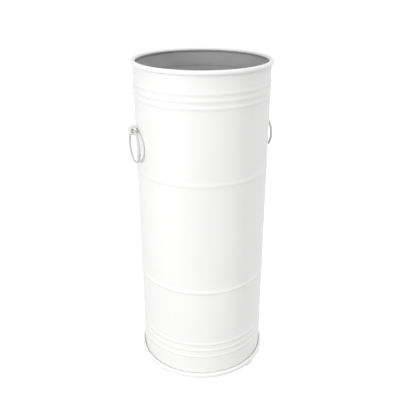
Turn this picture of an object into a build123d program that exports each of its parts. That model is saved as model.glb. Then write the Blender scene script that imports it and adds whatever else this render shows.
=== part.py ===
"""Umbrella stand: a tall round tube of painted sheet steel with two drop ring handles.

Millimetres. +Z is up. The origin is on the floor, on the axis of the tube.
The two ring handles are on the X axis, and the folded seam of the tube is at the back, on +Y.
"""

from build123d import *

import math
import os

# Overall
total_height = 486.6
body_radius = 98.0  # outside of the plain wall
wall = 0.8  # sheet of the tube
rim_radius = 3.5  # half the thickness of the rolled top edge
wire_gap = 0.05  # between the rim wire and the sheet rolled round it

# Beads rolled into the wall: height of the crest, half its width, how far it stands out
top_beads = [(437.4, 4.2, 1.0), (446.9, 4.2, 1.0), (456.4, 4.2, 1.0)]
middle_bead = (330.1, 5.2, 0.7)
lower_bead = (158.4, 4.6, 1.0)
foot_beads = [(40.9, 3.8, 0.75), (52.6, 3.8, 0.75), (64.0, 3.8, 0.75)]
beads = foot_beads + [lower_bead, middle_bead] + top_beads

# Folded seam down the back
seam_width = 7.0
seam_height = 0.7
seam_end_gap = 1.0  # the fold is flattened this far from the rim and from the base

# Base pan and the seam that locks it to the tube
pad_height = 1.2
pan_sheet = 0.8
pan_radius = 102.8
pan_top = 9.7
pan_corner = 2.6
pan_boss_radius = 74.0
pan_boss_height = 2.0
hem_thickness = 2.4  # the sheet edge turned back on itself
hem_gap = 0.1
seal_thickness = 0.5
lip_radius = 101.9

# Pads glued under the edge of the pan
pad_radius = 9.5
pad_centre_radius = 97.0
pad_edge = 0.5
pad_angles = {
    "foot_pad_front_left": -148.5,
    "foot_pad_front_right": -62.5,
    "foot_pad_back_right": 31.5,
    "foot_pad_back_left": 117.5,
}

# Ring handles
ring_wire = 3.5  # diameter of the wire
ring_radius = 23.2  # to the middle of the wire
ring_standoff = 6.7  # from the wall to the middle of the wire
ring_height = 369.1  # middle of the ring when it hangs

# Lugs that carry the rings: a flat bar bent to a U, with two tenons riveted over a plate inside
lug_bar = 3.4
lug_width = 7.0
lug_slot = 6.0  # height of the slot that the ring hangs in
lug_reach = 14.3  # from the wall to the outside of the bend
lug_edge = 1.1
tenon_radius = 1.5
tenon_clearance = 0.15
tenon_head_radius = 2.6
tenon_head_height = 1.2
plate_thickness = 1.5
plate_width = 12.0
plate_height = 24.0
plate_corner = 4.0
running_gap = 0.3  # least gap between a ring and its lug

# Heights and radii that follow from those
rim_centre_height = total_height - rim_radius
wall_inside = body_radius - wall
pan_floor_top = pad_height + pan_sheet
body_bottom = pan_floor_top + seal_thickness
lip_top = pan_top - hem_thickness - hem_gap
ring_distance = body_radius + ring_standoff
pivot_height = ring_height + ring_radius
half_width_drop = ring_radius - math.sqrt(ring_radius**2 - (lug_width / 2) ** 2)
slot_bottom = pivot_height - ring_wire / 2 - half_width_drop - running_gap
lug_height = slot_bottom + lug_slot / 2
leg_offset = (lug_slot + lug_bar) / 2  # from the middle of the slot to the middle of each leg
bend_distance = body_radius + lug_reach - lug_slot / 2 - lug_bar
plate_face = math.sqrt(wall_inside**2 - (plate_width / 2) ** 2)

os.makedirs("parts", exist_ok=True)


def wall_line(radius, bottom, top):
    """Draw the line of the wall from bottom to top, with each bead as three tangent arcs."""
    point = (radius, bottom)
    for crest, half_width, height in sorted(beads):
        turn = 2 * math.atan(height / half_width)
        bend = half_width / (2 * math.sin(turn))
        turn = math.degrees(turn)
        run = Line(point, (radius, crest - half_width))
        rise = JernArc(start=run @ 1, tangent=(0, 1), radius=bend, arc_size=-turn)
        over = JernArc(start=rise @ 1, tangent=rise % 1, radius=bend, arc_size=2 * turn)
        fall = JernArc(start=over @ 1, tangent=over % 1, radius=bend, arc_size=-turn)
        point = fall @ 1
    Line(point, (radius, top))


def wall_outline(inner, outer, bottom, top):
    """Draw the closed outline between two lines of the wall."""
    wall_line(inner, bottom, top)
    wall_line(outer, bottom, top)
    Line((inner, bottom), (outer, bottom))
    Line((inner, top), (outer, top))


# Tube: rolled sheet with beads, a folded seam, a lip at the foot and an edge rolled round the rim wire
with BuildPart() as body_shell:
    with BuildSketch(Plane.XZ) as body_section:
        with BuildLine():
            wall_outline(wall_inside, body_radius, body_bottom, rim_centre_height - rim_radius + wall / 2)
        make_face()
        with Locations((body_radius, rim_centre_height)):
            Circle(rim_radius)
            Circle(rim_radius - wall, mode=Mode.SUBTRACT)
        # the raw edge of the roll stops just short of the wall
        with Locations((body_radius + 1.2, rim_centre_height - rim_radius + wall / 2)):
            Rectangle(0.4, 3 * wall, mode=Mode.SUBTRACT)
        # lip turned out and up, which the base pan is hemmed over
        with Locations((wall_inside, body_bottom)):
            Rectangle(lip_radius - wall_inside, wall, align=Align.MIN)
        with Locations((lip_radius - wall, body_bottom)):
            Rectangle(wall, lip_top - body_bottom, align=Align.MIN)
    revolve(axis=Axis.Z)
    # folded seam: it follows the beads
    seam_angle = math.degrees(seam_width / body_radius)
    with BuildSketch(Plane.XZ.rotated((0, 0, 90 - seam_angle / 2))) as seam_section:
        with BuildLine():
            wall_outline(
                body_radius - wall / 2,
                body_radius + seam_height,
                pan_top + seam_end_gap,
                rim_centre_height - rim_radius - seam_end_gap,
            )
        make_face()
    revolve(axis=Axis.Z, revolution_arc=seam_angle)
    # holes for the tenons of the two lugs
    with BuildSketch(Plane.YZ) as tenon_holes:
        with Locations((0, lug_height - leg_offset), (0, lug_height + leg_offset)):
            Circle(tenon_radius + tenon_clearance)
    extrude(amount=body_radius + wall, both=True, mode=Mode.SUBTRACT)
body_shell.part.label = "body_shell"
export_step(body_shell.part, "parts/body_shell.step")

# Steel wire inside the rolled edge
with BuildPart() as rim_wire:
    with BuildSketch(Plane.XZ) as rim_wire_section:
        with Locations((body_radius, rim_centre_height)):
            Circle(rim_radius - wall - wire_gap)
    revolve(axis=Axis.Z)
rim_wire.part.label = "rim_wire"
export_step(rim_wire.part, "parts/rim_wire.step")

# Base pan: pressed sheet with a raised middle, and an edge hemmed over the lip of the tube
with BuildPart() as base_pan:
    with BuildSketch(Plane.XZ) as pan_section:
        with BuildLine():
            Polyline(
                (0, pad_height + pan_boss_height),
                (pan_boss_radius, pad_height + pan_boss_height),
                (pan_boss_radius + 2 * pan_boss_height, pad_height),
                (pan_radius, pad_height),
                (pan_radius, pan_top),
                (body_radius + hem_gap, pan_top),
                (body_radius + hem_gap, pan_top - hem_thickness),
                (pan_radius - pan_sheet, pan_top - hem_thickness),
                (pan_radius - pan_sheet, pan_floor_top),
                (pan_boss_radius + 2 * pan_boss_height, pan_floor_top),
                (pan_boss_radius, pan_floor_top + pan_boss_height),
                (0, pan_floor_top + pan_boss_height),
                close=True,
            )
        make_face()
        outer_corners = pan_section.vertices().filter_by_position(Axis.X, pan_radius - 0.01, pan_radius + 0.01)
        fillet(outer_corners, pan_corner)
        inner_corners = pan_section.vertices().filter_by_position(Axis.X, body_radius, body_radius + 2 * hem_gap)
        fillet(inner_corners.sort_by(Axis.Y)[-1], hem_thickness / 2)
    revolve(axis=Axis.Z)
base_pan.part.label = "base_pan"
export_step(base_pan.part, "parts/base_pan.step")

# Sealing ring between the foot of the tube and the base pan
with BuildPart() as base_seal:
    with BuildSketch(Plane.XY.offset(pan_floor_top)) as seal_section:
        Circle(lip_radius - 2.0)
        Circle(wall_inside, mode=Mode.SUBTRACT)
    extrude(amount=seal_thickness)
base_seal.part.label = "base_seal"
export_step(base_seal.part, "parts/base_seal.step")

# Pads under the edge of the pan
for pad_name, pad_angle in pad_angles.items():
    pad_x = pad_centre_radius * math.cos(math.radians(pad_angle))
    pad_y = pad_centre_radius * math.sin(math.radians(pad_angle))
    with BuildPart() as foot_pad:
        with BuildSketch(Plane.XY) as pad_section:
            with Locations((pad_x, pad_y)):
                Circle(pad_radius)
        extrude(amount=pad_height)
        fillet(foot_pad.faces().sort_by(Axis.Z)[0].edges(), pad_edge)
    foot_pad.part.label = pad_name
    export_step(foot_pad.part, f"parts/{pad_name}.step")

# Handles: side is -1 on the left and 1 on the right
for side, word in ((-1, "left"), (1, "right")):
    # Lug: the flat bar, its tenons through the wall, and their riveted heads
    with BuildPart() as lug:
        with BuildSketch(Plane.XZ) as lug_section:
            with BuildLine():
                top_leg = Line(
                    (side * body_radius, lug_height + leg_offset),
                    (side * bend_distance, lug_height + leg_offset),
                )
                bend = RadiusArc(
                    top_leg @ 1,
                    (side * bend_distance, lug_height - leg_offset),
                    leg_offset * side,
                )
                Line(bend @ 1, (side * body_radius, lug_height - leg_offset))
            trace(line_width=lug_bar)
        extrude(amount=lug_width / 2, both=True)
        long_edges = lug.edges().filter_by(Axis.X) + lug.edges().filter_by(GeomType.CIRCLE)
        fillet(long_edges, lug_edge)
        with BuildSketch(Plane.YZ.offset(side * body_radius)) as tenons:
            with Locations((0, lug_height - leg_offset), (0, lug_height + leg_offset)):
                Circle(tenon_radius)
        extrude(amount=-side * (body_radius - plate_face + plate_thickness))
        with BuildSketch(Plane.YZ.offset(side * (plate_face - plate_thickness))) as tenon_heads:
            with Locations((0, lug_height - leg_offset), (0, lug_height + leg_offset)):
                Circle(tenon_head_radius)
        extrude(amount=-side * tenon_head_height, taper=25)
    lug.part.label = f"lug_{word}"
    export_step(lug.part, f"parts/lug_{word}.step")

    # Plate inside the tube that spreads the pull of the lug
    with BuildPart() as backing_plate:
        with BuildSketch(Plane.YZ.offset(side * plate_face)) as plate_section:
            with Locations((0, lug_height)):
                RectangleRounded(plate_width, plate_height, plate_corner)
            with Locations((0, lug_height - leg_offset), (0, lug_height + leg_offset)):
                Circle(tenon_radius + 0.05, mode=Mode.SUBTRACT)
        extrude(amount=-side * plate_thickness)
    backing_plate.part.label = f"backing_plate_{word}"
    export_step(backing_plate.part, f"parts/backing_plate_{word}.step")

    # Ring, hanging straight down through the slot of the lug
    with BuildPart() as ring:
        with BuildSketch(Plane.XY) as ring_section:
            with Locations((side * ring_distance, ring_radius)):
                Circle(ring_wire / 2)
        revolve(axis=Axis((side * ring_distance, 0, 0), (1, 0, 0)))
    ring.part = ring.part.moved(Location((0, 0, ring_height)))
    ring.part.label = f"ring_{word}"
    export_step(ring.part, f"parts/ring_{word}.step")
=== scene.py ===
import math

import bmesh
import bpy
from mathutils import Matrix, Vector


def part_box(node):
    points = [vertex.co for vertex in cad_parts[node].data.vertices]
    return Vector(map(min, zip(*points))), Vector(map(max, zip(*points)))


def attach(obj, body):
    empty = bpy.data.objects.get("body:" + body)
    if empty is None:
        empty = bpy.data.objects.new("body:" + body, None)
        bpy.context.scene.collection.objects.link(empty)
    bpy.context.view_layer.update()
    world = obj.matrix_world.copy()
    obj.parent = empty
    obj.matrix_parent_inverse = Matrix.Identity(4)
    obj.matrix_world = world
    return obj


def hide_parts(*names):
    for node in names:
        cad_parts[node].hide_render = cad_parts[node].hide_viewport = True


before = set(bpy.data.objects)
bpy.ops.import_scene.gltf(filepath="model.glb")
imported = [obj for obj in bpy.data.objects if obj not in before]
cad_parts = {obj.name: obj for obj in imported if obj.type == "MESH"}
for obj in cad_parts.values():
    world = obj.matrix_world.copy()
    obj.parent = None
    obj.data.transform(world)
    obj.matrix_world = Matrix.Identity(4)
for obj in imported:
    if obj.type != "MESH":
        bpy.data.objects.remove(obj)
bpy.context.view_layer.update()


# ---------------------------------------------------------------------------
# Camera: it stands to the left of the front, a little above the rim, and looks down at the tube.
# ---------------------------------------------------------------------------
camera_azimuth = math.radians(-23)
camera_distance = 0.7861
camera_height = 0.6151
camera_pitch = math.radians(23.873)

camera_data = bpy.data.cameras.new("camera")
camera_data.lens = 49.32
camera_data.sensor_width = 36.0
camera_data.shift_x = -0.005
camera_data.clip_start = 0.01
camera_data.clip_end = 60.0
camera = bpy.data.objects.new("camera", camera_data)
bpy.context.collection.objects.link(camera)
camera.location = (
    math.sin(camera_azimuth) * camera_distance,
    -math.cos(camera_azimuth) * camera_distance,
    camera_height,
)
camera.rotation_euler = (math.pi / 2 - camera_pitch, 0.0, camera_azimuth)
bpy.context.scene.camera = camera
bpy.context.scene.view_settings.view_transform = "Standard"


# ---------------------------------------------------------------------------
# Studio: a white floor that runs out of sight, in a white room that is brighter overhead and darker
# below, to the left and behind the stand. A tall soft panel hangs at the left, a weak wide one in
# front and another overhead.
# ---------------------------------------------------------------------------
floor_half = 20.0
floor_mesh = bpy.data.meshes.new("studio_floor")
floor_mesh.from_pydata(
    [(x * floor_half, y * floor_half, 0.0) for x, y in ((-1, -1), (1, -1), (1, 1), (-1, 1))],
    [],
    [(0, 1, 2, 3)],
)
studio_floor = bpy.data.objects.new("studio_floor", floor_mesh)
bpy.context.collection.objects.link(studio_floor)

floor_paint = bpy.data.materials.new("floor_paint")
floor_paint.use_nodes = True
floor_shader = floor_paint.node_tree.nodes["Principled BSDF"]
floor_shader.inputs["Base Color"].default_value = (0.3, 0.3, 0.3, 1.0)
floor_shader.inputs["Roughness"].default_value = 0.9
floor_shader.inputs["Specular IOR Level"].default_value = 0.0
floor_shader.inputs["Emission Color"].default_value = (1.0, 1.0, 1.0, 1.0)
floor_shader.inputs["Emission Strength"].default_value = 0.9
floor_mesh.materials.append(floor_paint)
studio_floor.visible_diffuse = False

room = bpy.data.worlds.new("room")
bpy.context.scene.world = room
room.use_nodes = True
room_nodes, room_link = room.node_tree.nodes, room.node_tree.links.new
room_nodes["Background"].inputs["Color"].default_value = (1.0, 1.0, 1.0, 1.0)
looking = room_nodes.new("ShaderNodeTexCoord")


def room_fade(towards, start, end, level_start, level_end):
    """A share of the room's light that changes with how far a direction points towards a side."""
    aim = room_nodes.new("ShaderNodeVectorMath")
    aim.operation = "DOT_PRODUCT"
    aim.inputs[1].default_value = towards
    fade = room_nodes.new("ShaderNodeMapRange")
    fade.interpolation_type = "SMOOTHSTEP"
    fade.inputs["From Min"].default_value = start
    fade.inputs["From Max"].default_value = end
    fade.inputs["To Min"].default_value = level_start
    fade.inputs["To Max"].default_value = level_end
    room_link(looking.outputs["Generated"], aim.inputs[0])
    room_link(aim.outputs["Value"], fade.inputs["Value"])
    return fade.outputs["Result"]


def product(first, second):
    """The two shares multiplied."""
    node = room_nodes.new("ShaderNodeMath")
    node.operation = "MULTIPLY"
    room_link(first, node.inputs[0])
    room_link(second, node.inputs[1])
    return node.outputs["Value"]


camera_left = (-math.cos(camera_azimuth), -math.sin(camera_azimuth), 0.0)
camera_ahead = (-math.sin(camera_azimuth), math.cos(camera_azimuth), 0.0)
upwards = room_fade((0.0, 0.0, 1.0), -0.5, 0.6, 0.67, 1.01)
leftwards = room_fade(camera_left, -0.3, 1.0, 1.0, 0.42)
backwards = room_fade(camera_ahead, -0.1, 0.9, 1.0, 0.68)
zenith = room_fade((0.0, 0.0, 1.0), 0.6, 0.95, 1.0, 1.85)
sides = product(product(upwards, leftwards), backwards)
room_link(product(sides, zenith), room_nodes["Background"].inputs["Strength"])


def soft_panel(name, width, height, place, aim, power):
    """Hang a soft rectangular light at place, facing aim."""
    data = bpy.data.lights.new(name, "AREA")
    data.shape = "RECTANGLE"
    data.size = width
    data.size_y = height
    data.energy = power
    panel = bpy.data.objects.new(name, data)
    bpy.context.collection.objects.link(panel)
    panel.location = place
    panel.rotation_euler = (Vector(aim) - Vector(place)).to_track_quat("-Z", "Y").to_euler()


def around(azimuth, distance, height):
    """A place at an azimuth from the front, measured to the right."""
    turn = math.radians(azimuth)
    return (math.sin(turn) * distance, -math.cos(turn) * distance, height)


middle = (0.0, 0.0, 0.25)
soft_panel("side_panel", 0.4, 1.1, around(-71, 2.0, 0.55), middle, 22.0)
soft_panel("front_panel", 1.6, 1.6, around(-38, 2.5, 0.8), middle, 1.3)
soft_panel("overhead_panel", 1.8, 1.8, around(-90, 0.9, 2.4), middle, 3.0)


# ---------------------------------------------------------------------------
# Tube: 0.8 mm sheet steel rolled to a cylinder, with beads rolled in, its top edge curled round a
# wire and its foot turned out into a lip. White powder coat outside, a thin grey one inside, whose
# grey is darkened as painted shade for the deep tube and the underside of the curl.
# ---------------------------------------------------------------------------
millimetre = 0.001
tube_radius = 98.0
sheet = 0.8
curl_radius = 3.5
curl_gap = 0.35
top_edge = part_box("body_shell")[1].z / millimetre
curl_height = top_edge - curl_radius
lip_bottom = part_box("body_shell")[0].z / millimetre
lip_radius = 101.9
lip_top = 7.2
inner_bead_share = 0.4
steps_round = 240
beads = [(crest, 3.8, 0.75) for crest in (40.9, 52.6, 64.0)]
beads += [(158.4, 4.6, 1.0), (330.1, 5.2, 0.7)]
beads += [(crest, 4.2, 1.0) for crest in (437.4, 446.9, 456.4)]


def straight(start, end, longest=24.0, guard=0.4):
    """Points from start to end, with one close to each end so that the wall stays flat between beads."""
    length = math.dist(start, end)
    stops = [guard, length - guard] if length > 4 * guard else []
    if length > longest:
        pieces = math.ceil(length / longest)
        stops += [length * i / pieces for i in range(1, pieces)]
    shares = [stop / length for stop in sorted(stops)] + [1.0]
    return [(start[0] + (end[0] - start[0]) * s, start[1] + (end[1] - start[1]) * s) for s in shares]


def bend(start, heading, turn, radius, steps):
    """Points of an arc that leaves start at heading, measured outwards from straight up."""
    reach = math.copysign(radius, turn)
    points = []
    for i in range(1, steps + 1):
        now = heading + turn * i / steps
        across = reach * (math.cos(heading) - math.cos(now))
        up = reach * (math.sin(now) - math.sin(heading))
        points.append((start[0] + across, start[1] + up))
    return points


def wall_line(radius, bottom, top, steps, share=1.0):
    """The wall from bottom to top, each bead as three tangent arcs, at a share of its full height."""
    points = [(radius, bottom)]
    for crest, half_width, full_height in beads:
        height = full_height * share
        turn = 2 * math.atan(height / half_width)
        tightness = half_width / (2 * math.sin(turn))
        points += straight(points[-1], (radius, crest - half_width))
        points += bend(points[-1], 0.0, turn, tightness, steps)
        points += bend(points[-1], turn, -2 * turn, tightness, 2 * steps)
        points += bend(points[-1], -turn, turn, tightness, steps)
    return points + straight(points[-1], (radius, top))


def arc(centre, radius, first, last, steps):
    """Points of an arc about centre, with its angles in degrees from outwards, and up is 90."""
    angles = [math.radians(first + (last - first) * i / steps) for i in range(steps + 1)]
    return [(centre[0] + radius * math.cos(a), centre[1] + radius * math.sin(a)) for a in angles]


def new_tree(name, inputs):
    """A Geometry Nodes tree that gives out a mesh and takes in the named kinds of value."""
    tree = bpy.data.node_groups.new(name, "GeometryNodeTree")
    tree.interface.new_socket("Geometry", in_out="OUTPUT", socket_type="NodeSocketGeometry")
    for socket, kind in inputs.items():
        tree.interface.new_socket(socket, in_out="INPUT", socket_type="NodeSocket" + kind)
    return tree, tree.nodes.new("NodeGroupInput")


def skin_over(tree, source, guide, section, capped):
    """Lay the section along the guide as one smooth welded mesh in the tree's material."""
    nodes, link = tree.nodes, tree.links.new
    skin = nodes.new("GeometryNodeCurveToMesh")
    weld = nodes.new("GeometryNodeMergeByDistance")
    smooth = nodes.new("GeometryNodeSetShadeSmooth")
    realize = nodes.new("GeometryNodeRealizeInstances")
    finish = nodes.new("GeometryNodeSetMaterial")
    result = nodes.new("NodeGroupOutput")
    skin.inputs["Fill Caps"].default_value = capped
    weld.inputs["Distance"].default_value = 1e-6
    link(guide.outputs["Curve"], skin.inputs["Curve"])
    link(section.outputs["Curve"], skin.inputs["Profile Curve"])
    link(skin.outputs["Mesh"], weld.inputs["Geometry"])
    link(weld.outputs["Geometry"], smooth.inputs["Geometry"])
    link(smooth.outputs["Geometry"], realize.inputs["Geometry"])
    link(realize.outputs["Geometry"], finish.inputs["Geometry"])
    link(source.outputs["Material"], finish.inputs["Material"])
    link(finish.outputs["Geometry"], result.inputs["Geometry"])


def spin_tree():
    """Geometry Nodes that spin a section about the upright axis. The section lies flat, as drawn."""
    inputs = {"Section": "Geometry", "Guide radius": "Float", "Segments": "Int", "Material": "Material"}
    tree, source = new_tree("spin section", inputs)
    guide = tree.nodes.new("GeometryNodeCurvePrimitiveCircle")
    section = tree.nodes.new("GeometryNodeMeshToCurve")
    tree.links.new(source.outputs["Guide radius"], guide.inputs["Radius"])
    tree.links.new(source.outputs["Segments"], guide.inputs["Resolution"])
    tree.links.new(source.outputs["Section"], section.inputs["Mesh"])
    skin_over(tree, source, guide, section, False)
    return tree


def grow(name, source, tree, values):
    """Run a tree on the source mesh with the named input values, and keep the result as a plain mesh."""
    piece = bpy.data.objects.new(name, source)
    bpy.context.collection.objects.link(piece)
    modifier = piece.modifiers.new(tree.name, "NODES")
    modifier.node_group = tree
    for socket in tree.interface.items_tree:
        if socket.in_out == "INPUT" and socket.name in values:
            modifier[socket.identifier] = values[socket.name]
    grown = bpy.data.meshes.new_from_object(piece.evaluated_get(bpy.context.evaluated_depsgraph_get()))
    piece.modifiers.clear()
    piece.data = grown
    grown.name = name
    grown.set_sharp_from_angle(angle=math.radians(50))
    return piece


spin_section = spin_tree()


def spun(name, outline, closed, segments, material):
    """Spin an outline of (radius, height) points in millimetres, drawn downwards on its outer side."""
    guide = max(point[0] for point in outline) / 2
    flat = [((r - guide) * millimetre, -z * millimetre, 0.0) for r, z in outline]
    count = len(flat)
    edges = [(i, (i + 1) % count) for i in range(count if closed else count - 1)]
    source = bpy.data.meshes.new(name)
    source.from_pydata(flat, edges, [])
    values = {"Guide radius": guide * millimetre, "Segments": segments, "Material": material}
    return grow(name, source, spin_section, values)


def paint(name, dark, light, patch, rough_low, rough_high, peel, peel_depth):
    """A paint with faint patches of colour and gloss, and the ripple that sprayed coats dry with."""
    material = bpy.data.materials.new(name)
    material.use_nodes = True
    nodes, link = material.node_tree.nodes, material.node_tree.links.new
    shader = nodes["Principled BSDF"]
    place = nodes.new("ShaderNodeTexCoord")
    clouds = nodes.new("ShaderNodeTexNoise")
    clouds.inputs["Scale"].default_value = patch
    clouds.inputs["Detail"].default_value = 3.0
    tone = nodes.new("ShaderNodeValToRGB")
    tone.color_ramp.elements[0].position = 0.3
    tone.color_ramp.elements[0].color = (*dark, 1.0)
    tone.color_ramp.elements[1].position = 0.7
    tone.color_ramp.elements[1].color = (*light, 1.0)
    gloss = nodes.new("ShaderNodeMapRange")
    gloss.inputs["From Min"].default_value = 0.3
    gloss.inputs["From Max"].default_value = 0.7
    gloss.inputs["To Min"].default_value = rough_low
    gloss.inputs["To Max"].default_value = rough_high
    ripple = nodes.new("ShaderNodeTexNoise")
    ripple.inputs["Scale"].default_value = peel
    ripple.inputs["Detail"].default_value = 1.0
    grain = nodes.new("ShaderNodeTexNoise")
    grain.inputs["Scale"].default_value = peel * 6
    grain.inputs["Detail"].default_value = 1.0
    deep = nodes.new("ShaderNodeBump")
    deep.inputs["Strength"].default_value = 0.5
    deep.inputs["Distance"].default_value = peel_depth
    fine = nodes.new("ShaderNodeBump")
    fine.inputs["Strength"].default_value = 0.3
    fine.inputs["Distance"].default_value = peel_depth / 6
    for texture in (clouds, ripple, grain):
        link(place.outputs["Object"], texture.inputs["Vector"])
    link(clouds.outputs["Fac"], tone.inputs["Fac"])
    link(clouds.outputs["Fac"], gloss.inputs["Value"])
    link(ripple.outputs["Fac"], deep.inputs["Height"])
    link(grain.outputs["Fac"], fine.inputs["Height"])
    link(deep.outputs["Normal"], fine.inputs["Normal"])
    link(tone.outputs["Color"], shader.inputs["Base Color"])
    link(gloss.outputs["Result"], shader.inputs["Roughness"])
    link(fine.outputs["Normal"], shader.inputs["Normal"])
    return material


white_coat = paint("white_coat", (0.80, 0.80, 0.795), (0.82, 0.82, 0.815), 14.0, 0.42, 0.5, 420.0, 3e-5)
# painted shade: the inside's grey coat is made darker to stand in for the shade deep in the tube and under
# the curl
inside_grey_and_painted_shade = paint("inside_grey_and_painted_shade", (0.45, 0.45, 0.455), (0.48, 0.48, 0.485), 40.0, 0.55, 0.65, 600.0, 2e-5)

curl_centre = (tube_radius, curl_height)
curl_inside = curl_radius - sheet
wall_meets_curl = curl_height - math.sqrt(curl_radius**2 - sheet**2)
curl_start = 180 + math.degrees(math.acos(sheet / curl_radius))
raw_edge = math.degrees(math.acos(curl_gap / curl_radius))
raw_edge_inside = math.degrees(math.acos(curl_gap / curl_inside))

tube_outline = wall_line(tube_radius, lip_bottom + sheet, curl_height - curl_inside, 4)
tube_outline += arc(curl_centre, curl_inside, 270, -raw_edge_inside, 14)[1:]
tube_outline += arc(curl_centre, curl_radius, -raw_edge, curl_start, 30)
inner_wall = wall_line(tube_radius - sheet, lip_bottom, wall_meets_curl, 2, inner_bead_share)
tube_outline += inner_wall[-2::-1]
tube_outline += [
    (lip_radius, lip_bottom),
    (lip_radius, lip_top),
    (lip_radius - sheet, lip_top),
    (lip_radius - sheet, lip_bottom + sheet),
]
tube = spun("tube", tube_outline[::-1], True, steps_round, white_coat)

# the inside is grey up to the turn of the curl; this grey is partly coat and partly painted shade for the
# deep tube and the curl's underside
tube.data.materials.append(inside_grey_and_painted_shade)
for face in tube.data.polygons:
    faces_in = face.normal.x * face.center.x + face.normal.y * face.center.y < 0
    if faces_in and face.center.z < curl_height * millimetre:
        face.material_index = 1
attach(tube, "stand")
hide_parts("body_shell")


# ---------------------------------------------------------------------------
# Folded seam: where the rolled sheet's two edges hook over each other down the back, under the
# tube's own coat. One side is the rounded fold and the other slopes. It is beaten flat at both
# ends, and follows the beads.
# ---------------------------------------------------------------------------
seam_width = 7.0
seam_height = 0.7
seam_depth = 0.1
seam_end_gap = 1.0
seam_flat_end = 4.0
seam_sink = 0.02
seam_crown = 0.06
fold_tuck = 0.1
fold_corner = 0.4
slope_toe = 0.3
slope_run = 1.2
pan_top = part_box("base_pan")[1].z / millimetre


def rounded(corners, steps=6):
    """Points of a closed outline of (x, y, radius) corners, each corner an arc of its radius."""
    points = []
    for i, (x, y, radius) in enumerate(corners):
        here = Vector((x, y))
        back = (Vector(corners[i - 1][:2]) - here).normalized()
        on = (Vector(corners[(i + 1) % len(corners)][:2]) - here).normalized()
        if radius == 0:
            points.append((x, y))
            continue
        half_open = back.angle(on) / 2
        middle = here + (back + on).normalized() * radius / math.sin(half_open)
        first = here + back * radius / math.tan(half_open) - middle
        turn = (math.pi - 2 * half_open) * math.copysign(1, on.cross(back))
        for step in range(steps + 1):
            part = Matrix.Rotation(turn * step / steps, 2) @ first
            points.append(tuple(middle + part))
    return points


def path_tree():
    """Geometry Nodes that lay a closed section along a path. A point's radius swells the section there."""
    inputs = {"Path": "Geometry", "Section": "Object", "Material": "Material"}
    tree, source = new_tree("follow path", inputs)
    path = tree.nodes.new("GeometryNodeMeshToCurve")
    drawn = tree.nodes.new("GeometryNodeObjectInfo")
    section = tree.nodes.new("GeometryNodeMeshToCurve")
    tree.links.new(source.outputs["Path"], path.inputs["Mesh"])
    tree.links.new(source.outputs["Section"], drawn.inputs["Object"])
    tree.links.new(drawn.outputs["Geometry"], section.inputs["Mesh"])
    skin_over(tree, source, path, section, True)
    return tree


follow_path = path_tree()


def swept(name, path, closed, outline, material):
    """Lay an outline of (x, y) along a path of (x, y, z, swell) points, all in millimetres."""
    count = len(outline)
    drawn = bpy.data.meshes.new("section")
    drawn.from_pydata(
        [(x * millimetre, y * millimetre, 0.0) for x, y in outline],
        [(i, (i + 1) % count) for i in range(count)],
        [],
    )
    section = bpy.data.objects.new("section", drawn)
    bpy.context.collection.objects.link(section)
    count = len(path)
    source = bpy.data.meshes.new(name)
    source.from_pydata(
        [(x * millimetre, y * millimetre, z * millimetre) for x, y, z, swell in path],
        [(i, (i + 1) % count) for i in range(count if closed else count - 1)],
        [],
    )
    source.attributes.new("radius", "FLOAT", "POINT").data.foreach_set("value", [point[3] for point in path])
    piece = grow(name, source, follow_path, {"Section": section, "Material": material})
    bpy.data.objects.remove(section)
    return piece


def flattened(height, bottom, top):
    """How far the seam sinks at a height, so that its ends run into the wall."""
    from_end = min(height - bottom, top - height)
    share = min(max(from_end / seam_flat_end, 0.0), 1.0)
    return (seam_height + seam_sink) * (0.5 + 0.5 * math.cos(math.pi * share))


seam_bottom = pan_top + seam_end_gap
seam_top = curl_height - curl_radius - seam_end_gap
end_steps = [seam_flat_end * i / 8 for i in range(8)]
seam_line = [(tube_radius, seam_bottom + step) for step in end_steps]
seam_line += wall_line(tube_radius, seam_bottom + seam_flat_end, seam_top - seam_flat_end, 4)
seam_line += [(tube_radius, seam_top - step) for step in end_steps[::-1]]
seam_path = [(0.0, r - flattened(z, seam_bottom, seam_top), z, 1.0) for r, z in seam_line]
seam_section = rounded(
    [
        (-seam_width / 2 - slope_toe, -seam_depth, 0.0),
        (seam_width / 2 - fold_tuck, -seam_depth, 0.0),
        (seam_width / 2 - fold_tuck, fold_tuck, 0.0),
        (seam_width / 2, 2 * fold_tuck, 0.05),
        (seam_width / 2, seam_height, fold_corner),
        (0.4, seam_height + seam_crown, 3.0),
        (-seam_width / 2 + slope_run, seam_height, 1.4),
        (-seam_width / 2 - slope_toe, -seam_sink, 0.3),
    ],
    5,
)
folded_seam = swept("folded_seam", seam_path, False, seam_section, white_coat)
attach(folded_seam, "stand")
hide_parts("body_shell")


# ---------------------------------------------------------------------------
# Rim wire: a ring of drawn steel wire. The tube's curled edge wraps round it and holds it, and it
# keeps that edge round and thick.
# ---------------------------------------------------------------------------
def finish_node(node, material):
    """Give a CAD node its finish."""
    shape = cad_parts[node]
    if not shape.material_slots:
        shape.data.materials.append(material)
    for place in shape.material_slots:
        place.material = material


drawn_wire = paint("drawn_wire", (0.42, 0.42, 0.43), (0.5, 0.5, 0.5), 60.0, 0.28, 0.42, 900.0, 1e-5)
drawn_wire.node_tree.nodes["Principled BSDF"].inputs["Metallic"].default_value = 1.0
finish_node("rim_wire", drawn_wire)


# ---------------------------------------------------------------------------
# Base: a pressed pan with a raised middle. Its edge is hemmed over the lip of the tube, and shows
# as a rounded band round the foot. White powder coat, grey inside like the wall, a grey that is
# also painted shade.
# ---------------------------------------------------------------------------
pan_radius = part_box("base_pan")[1].x / millimetre
pan_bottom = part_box("base_pan")[0].z / millimetre
pan_corner = 2.6
boss_radius = 74.0
boss_height = 2.0
boss_foot = boss_radius + 2 * boss_height
boss_bend = 3.0
hem_reach = tube_radius + 0.6
hem_fold = 2.4
hem_inner_corner = 1.7
hem_edge = 0.2

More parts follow.
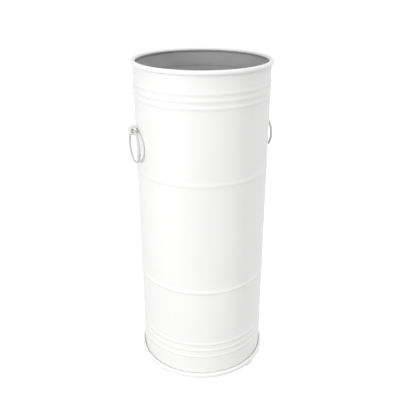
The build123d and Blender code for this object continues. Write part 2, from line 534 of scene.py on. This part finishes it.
pan_outline = rounded(
    [
        (0.0, pan_bottom + sheet + boss_height, 0.0),
        (boss_radius, pan_bottom + sheet + boss_height, boss_bend),
        (boss_foot, pan_bottom + sheet, boss_bend),
        (pan_radius - sheet, pan_bottom + sheet, pan_corner - sheet),
        (pan_radius - sheet, pan_top - hem_fold, hem_edge),
        (hem_reach, pan_top - hem_fold, hem_edge),
        (hem_reach, pan_top, hem_inner_corner),
        (pan_radius, pan_top, pan_corner),
        (pan_radius, pan_bottom, pan_corner),
        (boss_foot, pan_bottom, boss_bend),
        (boss_radius, pan_bottom + boss_height, boss_bend),
        (0.0, pan_bottom + boss_height, 0.0),
    ],
    8,
)
base = spun("base", pan_outline, False, steps_round, white_coat)
# the pan's floor inside the tube gets the inside grey, which is partly painted shade
base.data.materials.append(inside_grey_and_painted_shade)
for face in base.data.polygons:
    on_floor = math.hypot(face.center.x, face.center.y) < (tube_radius - sheet) * millimetre
    if on_floor and face.normal.z > 0:
        face.material_index = 1
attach(base, "stand")
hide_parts("base_pan")


# ---------------------------------------------------------------------------
# Seal: a flat ring of black rubber. It is nipped between the foot of the tube and the base, and
# keeps the drips inside.
# ---------------------------------------------------------------------------
seal_rubber = paint("seal_rubber", (0.02, 0.02, 0.02), (0.035, 0.035, 0.035), 90.0, 0.7, 0.85, 1500.0, 2e-5)
finish_node("base_seal", seal_rubber)


# ---------------------------------------------------------------------------
# Pads: four low discs of pale moulded rubber glued under the edge of the base. Each has a
# rounded lower edge and a shallow recess underneath.
# ---------------------------------------------------------------------------
pad_recess = 0.3
pad_top_edge = 0.2
pad_lower_edge = 0.5
recess_margin = 3.0
recess_slope = 0.4
pad_rubber = paint("pad_rubber", (0.85, 0.85, 0.845), (0.88, 0.88, 0.875), 120.0, 0.6, 0.75, 1300.0, 3e-5)

for node in ("foot_pad_front_left", "foot_pad_front_right", "foot_pad_back_right", "foot_pad_back_left"):
    low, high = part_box(node)
    pad_radius = (high.x - low.x) / 2 / millimetre
    pad_height = high.z / millimetre
    pad_outline = rounded(
        [
            (0.0, pad_height, 0.0),
            (pad_radius, pad_height, pad_top_edge),
            (pad_radius, 0.0, pad_lower_edge),
            (pad_radius - recess_margin, 0.0, 0.2),
            (pad_radius - recess_margin - recess_slope, pad_recess, 0.1),
            (0.0, pad_recess, 0.0),
        ],
        6,
    )
    pad = spun(node.replace("foot_pad", "pad"), pad_outline, False, 64, pad_rubber)
    pad.data.transform(Matrix.Translation(((low.x + high.x) / 2, (low.y + high.y) / 2, 0.0)))
    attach(pad, "stand")
    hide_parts(node)


# ---------------------------------------------------------------------------
# Lugs: a flat steel bar bent to a U, its two ends shouldered down to tenons that pass through the
# wall and a plate inside it, where they are riveted over. Their coat is glossier than the tube's,
# and its slightly greyer tone is painted shade.
# ---------------------------------------------------------------------------
# painted shade: the lug coat's grey tone stands in for the shade that falls on the lugs
lug_coat_painted_shade = paint("lug_coat_painted_shade", (0.71, 0.71, 0.705), (0.75, 0.75, 0.745), 60.0, 0.3, 0.4, 700.0, 1e-5)
lug_bar = 3.4
lug_slot = 6.0
lug_edge = 1.1
head_height = 1.2
head_radius = 2.6
head_rim = 0.25
head_sunk = 0.1
head_curve = (head_radius**2 + head_height**2) / (2 * head_height)


def join(main, others):
    """Add the meshes of other pieces to the main piece, and remove them."""
    both = bmesh.new()
    for piece in [main, *others]:
        both.from_mesh(piece.data)
    both.to_mesh(main.data)
    both.free()
    for piece in others:
        bpy.data.objects.remove(piece)


for side, word in ((-1, "left"), (1, "right")):
    low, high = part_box(f"lug_{word}")
    lug_reach = max(-low.x, high.x) / millimetre
    lug_width = (high.y - low.y) / millimetre
    lug_height = (low.z + high.z) / 2 / millimetre
    leg_offset = (lug_slot + lug_bar) / 2
    bend_centre = (lug_reach - lug_slot / 2 - lug_bar, lug_height)
    leg = [(-0.2, 1.08), (0.2, 1.04), (0.6, 1.0)]
    lug_line = [(tube_radius + out, lug_height + leg_offset, swell) for out, swell in leg]
    lug_line += [(x, z, 1.0) for x, z in arc(bend_centre, leg_offset, 90, -90, 24)]
    lug_line += [(tube_radius + out, lug_height - leg_offset, swell) for out, swell in leg[::-1]]
    lug_path = [(side * x, 0.0, z, swell) for x, z, swell in lug_line]
    w, t = lug_width / 2, lug_bar / 2
    lug_section = rounded([(x, y, lug_edge) for x, y in ((w, t), (-w, t), (-w, -t), (w, -t))], 5)
    lug = swept(f"lug_{word}_bar", lug_path, False, lug_section, lug_coat_painted_shade)

    plate_low, plate_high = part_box(f"backing_plate_{word}")
    plate_inside = min(abs(plate_low.x), abs(plate_high.x))
    head_outline = arc((0.0, head_height - head_curve), head_curve, 90, 45, 8)
    head_outline += [(head_radius, head_rim), (head_radius - head_sunk, -head_sunk), (0.0, -head_sunk)]
    heads = []
    for z in (lug_height - leg_offset, lug_height + leg_offset):
        head = spun("head", head_outline, False, 32, lug_coat_painted_shade)
        head.data.transform(Matrix.Rotation(-side * math.pi / 2, 4, "Y"))
        head.data.transform(Matrix.Translation((side * plate_inside, 0.0, z * millimetre)))
        heads.append(head)
    join(lug, heads)
    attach(lug, "stand")
    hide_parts(f"lug_{word}")


# ---------------------------------------------------------------------------
# Backing plates: zinc plated steel with rounded corners, flat against the inside of the wall, so
# that the thin sheet isn't torn when the stand is lifted by a handle.
# ---------------------------------------------------------------------------
plate_corner = 4.0
plate_edge = 0.3
zinc = paint("zinc", (0.5, 0.51, 0.53), (0.66, 0.67, 0.69), 260.0, 0.3, 0.5, 700.0, 2e-5)
zinc.node_tree.nodes["Principled BSDF"].inputs["Metallic"].default_value = 1.0

for side, word in ((-1, "left"), (1, "right")):
    low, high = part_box(f"backing_plate_{word}")
    near, far = sorted((abs(low.x) / millimetre, abs(high.x) / millimetre))
    plate_centre = (low.z + high.z) / 2 / millimetre
    w, h = high.y / millimetre, (high.z - low.z) / 2 / millimetre
    plate_section = rounded([(x, y, plate_corner) for x, y in ((w, h), (-w, h), (-w, -h), (w, -h))], 8)
    plate_path = [(side * far, 0.0, plate_centre, 1.0), (side * near, 0.0, plate_centre, 1.0)]
    plate = swept(f"backing_plate_{word}_sheet", plate_path, False, plate_section, zinc)
    shape = bmesh.new()
    shape.from_mesh(plate.data)
    rims = [edge for edge in shape.edges if edge.calc_face_angle(0.0) > math.radians(60)]
    bmesh.ops.bevel(shape, geom=rims, offset=plate_edge * millimetre, segments=3, affect="EDGES")
    shape.to_mesh(plate.data)
    shape.free()
    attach(plate, "stand")
    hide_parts(f"backing_plate_{word}")


# ---------------------------------------------------------------------------
# Ring handles: steel wire bent to a ring through its lug and butt welded, then painted with a glossy
# coat whose pale grey is painted shade. The weld shows as a fine line round the wire just below the lug.
# ---------------------------------------------------------------------------
# painted shade: the wire coat's pale grey stands in for the shade on the ring wires
wire_coat_painted_shade = paint("wire_coat_painted_shade", (0.56, 0.56, 0.56), (0.60, 0.60, 0.595), 40.0, 0.14, 0.2, 900.0, 1e-5)
weld_angle = 17.0
weld_half_width = 0.25
weld_depth = 0.04
ring_steps = 160

for side, word in ((-1, "left"), (1, "right")):
    low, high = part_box(f"ring_{word}")
    wire = (high.x - low.x) / millimetre
    ring_radius = (high.y - low.y) / 2 / millimetre - wire / 2
    ring_distance = (low.x + high.x) / 2 / millimetre
    ring_height = (low.z + high.z) / 2 / millimetre
    step = math.degrees(weld_half_width / ring_radius)
    spots = [(weld_angle + 360 * i / ring_steps, 1.0) for i in range(1, ring_steps)]
    spots += [(weld_angle - step, 1.0), (weld_angle, 1.0 - weld_depth), (weld_angle + step, 1.0)]
    ring_path = []
    for angle, swell in sorted(spots):
        across = ring_radius * math.sin(math.radians(angle))
        up = ring_radius * math.cos(math.radians(angle))
        ring_path.append((ring_distance, across, ring_height + up, swell))
    w = wire / 2
    wire_section = [(x, y) for x, y in arc((0.0, 0.0), w, 0, 360, 28)[:-1]]
    ring = swept(f"ring_{word}_wire", ring_path, True, wire_section, wire_coat_painted_shade)
    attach(ring, f"{word}_handle")
    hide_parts(f"ring_{word}")
